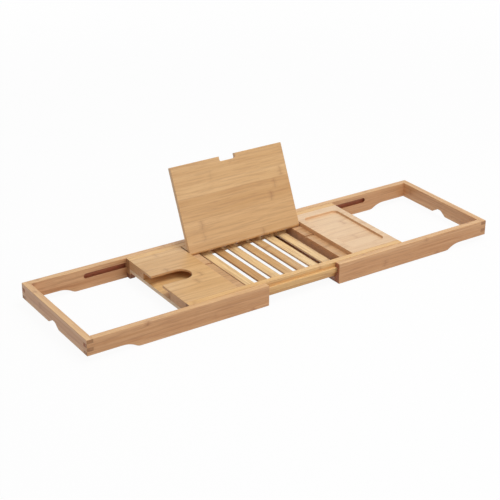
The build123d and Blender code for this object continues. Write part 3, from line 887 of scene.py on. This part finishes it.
screw_tree, inside, outside = new_group(
    "GeometryNodeTree",
    "Countersunk screws",
    {
        "Points": (GEOMETRY, None),
        "Head diameter": (FLOAT, 6.0 * MM),
        "Shank diameter": (FLOAT, 3.0 * MM),
        "Head height": (FLOAT, 1.5 * MM),
        "Point length": (FLOAT, 2.5 * MM),
        "Recess length": (FLOAT, 3.2 * MM),
        "Recess width": (FLOAT, 0.8 * MM),
        "Recess depth": (FLOAT, 1.0 * MM),
        "Seed": (INT, 11),
        "Finish": (MATERIAL, None),
    },
    {"Screws": GEOMETRY},
)
screw_sizes = inside.outputs


def cone(wide, narrow, depth):
    """A closed cone or cylinder, upwards along z."""
    return add(screw_tree, "GeometryNodeMeshCone", {
        "Vertices": SIDES, "Radius Bottom": wide, "Radius Top": narrow, "Depth": depth,
    }).outputs["Mesh"]


def slab(x, y):
    """A box through the head's face, for the recess. It is as deep below as above."""
    both_ways = calc(screw_tree, "MULTIPLY", screw_sizes["Recess depth"], 2.0)
    size = joined(screw_tree, screw_sizes[x], screw_sizes[y], both_ways)
    return add(screw_tree, "GeometryNodeMeshCube", {"Size": size}).outputs[0]


head_radius = halved(screw_tree, screw_sizes["Head diameter"])
shank_radius = halved(screw_tree, screw_sizes["Shank diameter"])
plain_head = cone(head_radius, shank_radius, screw_sizes["Head height"])
head = add(
    screw_tree, "GeometryNodeMeshBoolean", {"Mesh 1": plain_head},
    operation="DIFFERENCE", solver="EXACT",
)
for x, y in (("Recess length", "Recess width"), ("Recess width", "Recess length")):
    screw_tree.links.new(slab(x, y), head.inputs["Mesh 2"])
point = cone(shank_radius, 0.0, screw_sizes["Point length"])
print("head and point ready")

# %% Screw tree: copies on the points
def carried(name, kind):
    """A named value that the points carry."""
    value = add(screw_tree, "GeometryNodeInputNamedAttribute", {"Name": name}, data_type=kind)
    return value.outputs["Attribute"]


def stood(shape, points, turn, scale=(1.0, 1.0, 1.0)):
    """Copies of a shape on the points, turned to the screws' directions."""
    return add(screw_tree, "GeometryNodeInstanceOnPoints", {
        "Points": points, "Instance": shape, "Rotation": turn, "Scale": scale,
    }).outputs[0]


def along_aim(distance):
    """The points, moved along their screws' directions."""
    move = {0: screw_aim, "Scale": distance}
    shift = add(screw_tree, "ShaderNodeVectorMath", move, operation="SCALE").outputs[0]
    return add(screw_tree, "GeometryNodeSetPosition", {
        "Geometry": screw_sizes["Points"], "Offset": shift,
    }).outputs[0]


screw_aim, screw_length = carried("aim", "FLOAT_VECTOR"), carried("length", "FLOAT")
upright = add(
    screw_tree, "FunctionNodeAlignRotationToVector", {"Vector": screw_aim}, axis="Z",
).outputs[0]
spin = add(
    screw_tree, "FunctionNodeRandomValue", {2: 0.0, 3: math.pi, "Seed": screw_sizes["Seed"]},
    data_type="FLOAT",
).outputs[1]
about_axis = add(screw_tree, "FunctionNodeEulerToRotation", {0: joined(screw_tree, z=spin)})
turn = add(
    screw_tree, "FunctionNodeRotateRotation", {0: upright, 1: about_axis.outputs[0]},
    rotation_space="LOCAL",
).outputs[0]
below_head = calc(screw_tree, "SUBTRACT", screw_length, screw_sizes["Head height"])
shank_length = calc(screw_tree, "SUBTRACT", below_head, screw_sizes["Point length"])
shank = cone(shank_radius, shank_radius, 1.0)
shank_scale = joined(screw_tree, 1.0, 1.0, shank_length)
to_point = calc(screw_tree, "ADD", screw_sizes["Head height"], shank_length)

whole = add(screw_tree, "GeometryNodeJoinGeometry")
for copies in (
    stood(head.outputs["Mesh"], screw_sizes["Points"], turn),
    stood(shank, along_aim(screw_sizes["Head height"]), turn, shank_scale),
    stood(point, along_aim(to_point), turn),
):
    screw_tree.links.new(copies, whole.inputs[0])
delivered(screw_tree, whole.outputs[0], screw_sizes["Finish"], outside.inputs["Screws"])
print("tree:", screw_tree.name, len(screw_tree.nodes), "nodes")

# %% Screws from the measured places
screw_points = bpy.data.meshes.new("screw places")
screw_points.from_pydata(screw_places, [], [])
aims = screw_points.attributes.new("aim", "FLOAT_VECTOR", "POINT")
aims.data.foreach_set("vector", [value for aim in screw_aims for value in aim])
lengths = screw_points.attributes.new("length", "FLOAT", "POINT")
lengths.data.foreach_set("value", screw_lengths)
screws = grown("screws", screw_tree, {"Finish": bright_steel}, screw_points)
faced_outwards(screws)
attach(screws, "centre")
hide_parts(*screw_nodes)
print("screws:", len(screw_places), "with", len(screws.data.polygons), "faces")

# %% [markdown]
# ## Studio
#
# The picture is a cut-out on white. A wide floor catches a faint shadow. What the camera and
# the reflections see of it is mostly even white, and a little of its true shading is mixed
# in near the caddy for the shadow. The light that it throws back onto the caddy is that of a
# light grey floor, which keeps the caddy's sides a little darker than its tops.

# %% Floor
FLOOR_HALF = 6.0
GREY_FLOOR, WHITE_FLOOR = (0.62, 0.61, 0.60, 1), (0.95, 0.95, 0.95, 1)
WHITE = (1, 1, 1, 1)
SHADOW_FADES = (0.8, 2.4)  # metres from the caddy's middle
EVEN_NEAR = 0.94  # the even white's share near the caddy. Far off it is 1


def seen_directly(tree):
    """1 for what the camera sees directly, mirrored or through something clear, else 0."""
    path = add(tree, "ShaderNodeLightPath").outputs
    seen = calc(tree, "ADD", path["Is Camera Ray"], path["Is Glossy Ray"], clamp=True)
    return calc(tree, "ADD", seen, path["Is Transmission Ray"], clamp=True)


floor_z = solid_box[0][2]
turns = ((-1, -1), (1, -1), (1, 1), (-1, 1))
corners = [(x * FLOOR_HALF, y * FLOOR_HALF, floor_z) for x, y in turns]
floor_mesh = bpy.data.meshes.new("studio floor")
floor_mesh.from_pydata(corners, [], [(0, 1, 2, 3)])
floor = bpy.data.objects.new("studio_floor", floor_mesh)
bpy.context.scene.collection.objects.link(floor)
paper, tree = new_material("white paper")
seen = seen_directly(tree)
matte = add(tree, "ShaderNodeBsdfDiffuse", {"Color": blend(tree, seen, GREY_FLOOR, WHITE_FLOOR)})
even = add(tree, "ShaderNodeEmission", {"Color": WHITE, "Strength": 1.0})
spot = add(tree, "ShaderNodeTexCoord").outputs["Object"]
distance = add(tree, "ShaderNodeVectorMath", {0: spot}, operation="LENGTH").outputs["Value"]
far = ramp(tree, distance, *SHADOW_FADES)
evenness = calc(tree, "MULTIPLY_ADD", far, 1 - EVEN_NEAR, EVEN_NEAR)
both = add(tree, "ShaderNodeMixShader", {0: calc(tree, "MULTIPLY", seen, evenness)})
tree.links.new(matte.outputs[0], both.inputs[1])
tree.links.new(even.outputs[0], both.inputs[2])
tree.links.new(both.outputs[0], add(tree, "ShaderNodeOutputMaterial").inputs["Surface"])
floor_mesh.materials.append(paper)
print("floor at", round(floor_z, 4))

# %% [markdown]
# The world gives soft light from all round, and looks white where it is seen itself. Two
# large lamps do the rest: one stands above, and one in front, a little to the right.

# %% World and lamps
WORLD_LIGHT, WORLD_SEEN = 0.42, 1.0

world = bpy.data.worlds.new("studio")
bpy.context.scene.world = world
world.use_nodes = True
tree = world.node_tree
tree.nodes.clear()
brighter = WORLD_SEEN - WORLD_LIGHT
level = calc(tree, "MULTIPLY_ADD", seen_directly(tree), brighter, WORLD_LIGHT)
sky = add(tree, "ShaderNodeBackground", {"Color": WHITE, "Strength": level})
tree.links.new(sky.outputs[0], add(tree, "ShaderNodeOutputWorld").inputs["Surface"])


def lamp(name, place, size, power):
    """A large soft lamp that looks at the caddy. Its size is in metres, its power in watts."""
    data = bpy.data.lights.new(name, "AREA")
    data.shape = "RECTANGLE"
    data.size, data.size_y = size
    data.energy = power
    light = bpy.data.objects.new(name, data)
    light.location = place
    light.rotation_mode = "QUATERNION"
    light.rotation_quaternion = (-Vector(place)).to_track_quat("-Z", "Y")
    bpy.context.scene.collection.objects.link(light)


lamp("overhead", (0.25, -0.20, 1.9), (1.6, 1.2), 18.0)
lamp("front", (0.7, -2.2, 1.1), (1.4, 1.2), 9.8)
print("lamps ready")

# %% [markdown]
# ## Camera
#
# The camera stands where the photographer stood: to the left of the front, a little above,
# with a long lens. The place and the turns were measured from the corners of the two arms.

# %% Camera
lens_data = bpy.data.cameras.new("camera")
lens_data.lens = 94.1
lens_data.sensor_width = 36.0
camera = bpy.data.objects.new("camera", lens_data)
bpy.context.scene.collection.objects.link(camera)
bpy.context.scene.camera = camera
yaw, pitch, roll = math.radians(34.01), math.radians(25.49), math.radians(0.45)
camera.location = (-1.2157, -1.7499, 1.0309)
level_turn = Euler((math.pi / 2 - pitch, 0.0, -yaw), "XYZ").to_quaternion()
camera.rotation_mode = "QUATERNION"
camera.rotation_quaternion = level_turn @ Quaternion((0, 0, 1), roll)
bpy.context.scene.view_settings.view_transform = "Standard"
print("camera at", tuple(round(v, 3) for v in camera.location))
